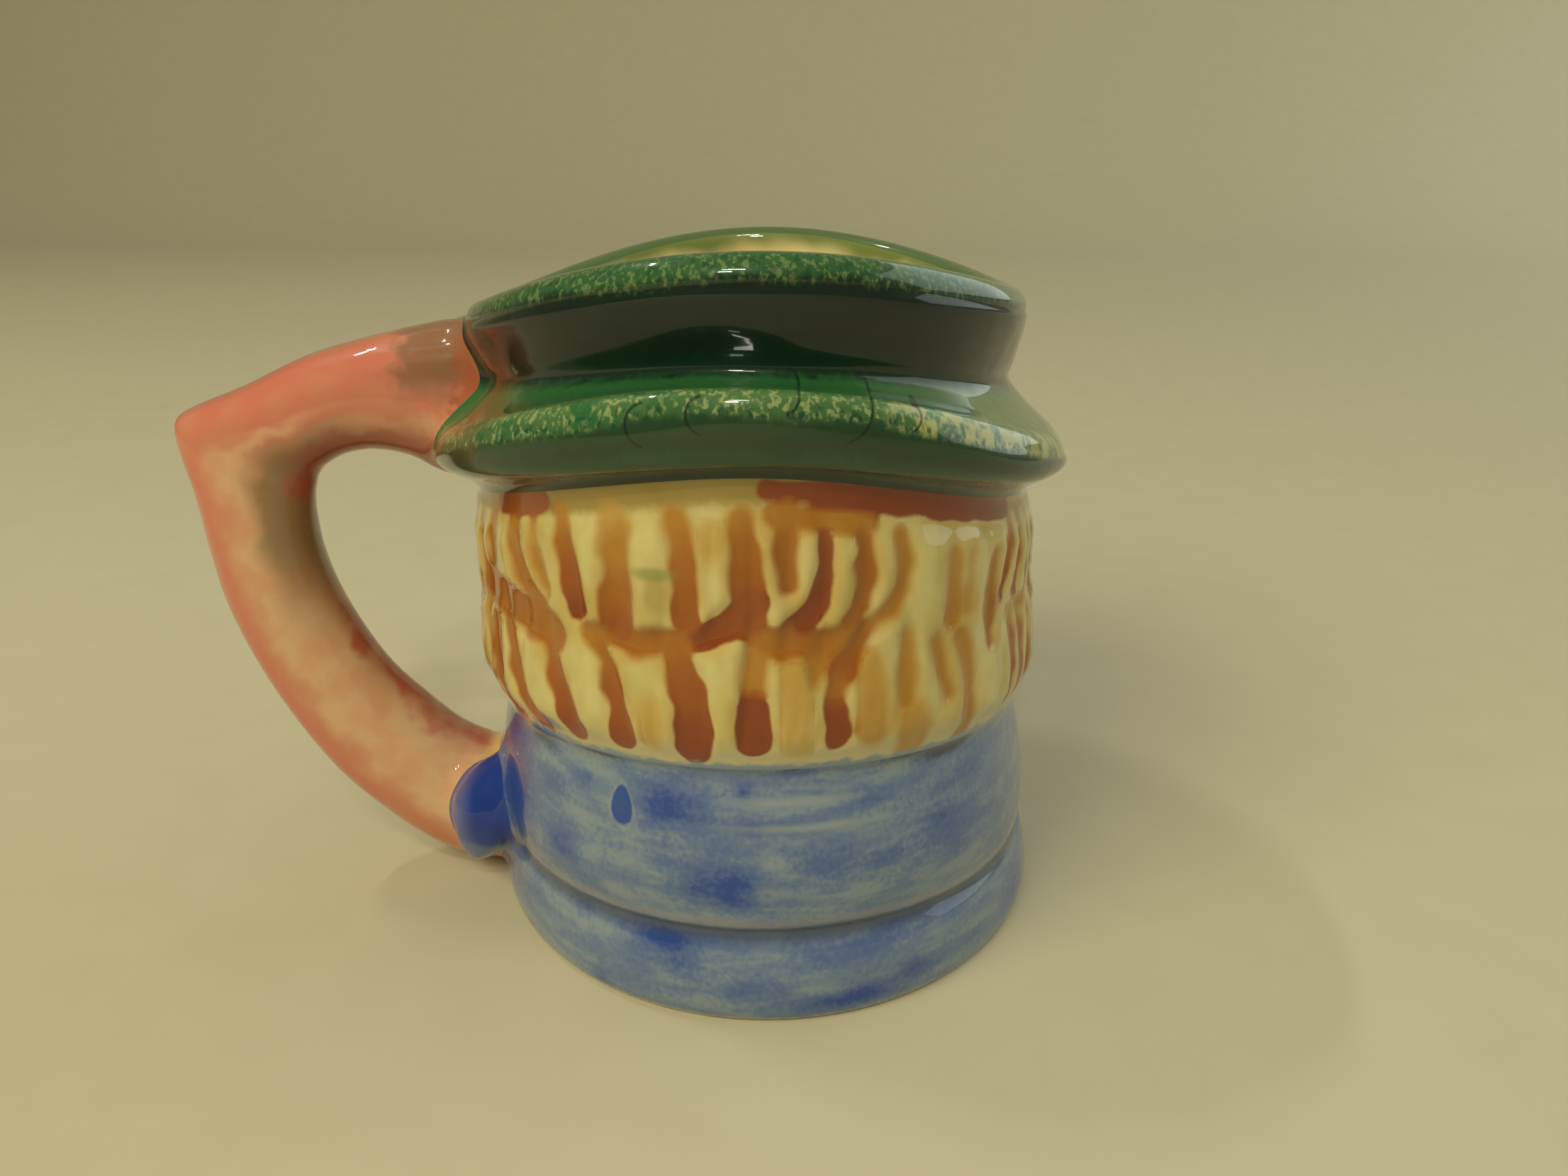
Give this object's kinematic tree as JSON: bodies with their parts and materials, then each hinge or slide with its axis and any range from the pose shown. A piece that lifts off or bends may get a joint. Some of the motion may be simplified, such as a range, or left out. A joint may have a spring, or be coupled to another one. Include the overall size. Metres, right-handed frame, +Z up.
{
  "type": "toby mug",
  "caption": "Miniature glazed earthenware toby mug: hollow head-shaped jug with a turned-up hat as its rim, hair in hanging locks, a folded scarf and an angular loop handle at one side",
  "frame": {"origin": "centre of the flat underside, on the surface that the mug stands on", "axes": "+Z up, -Y the way the face looks, +X the side with the handle, which is turned 8 degrees towards the back of the head"},
  "size_m": [0.0724, 0.0619, 0.0572],
  "materials": {
    "glazed_earthenware": "hand-painted earthenware under a clear gloss glaze: green hat, cream hair with orange-brown strokes, blue scarf, pink handle"
  },
  "bodies": {
    "root": {"toby_mug": "glazed_earthenware"}
  },
  "joints": []
}
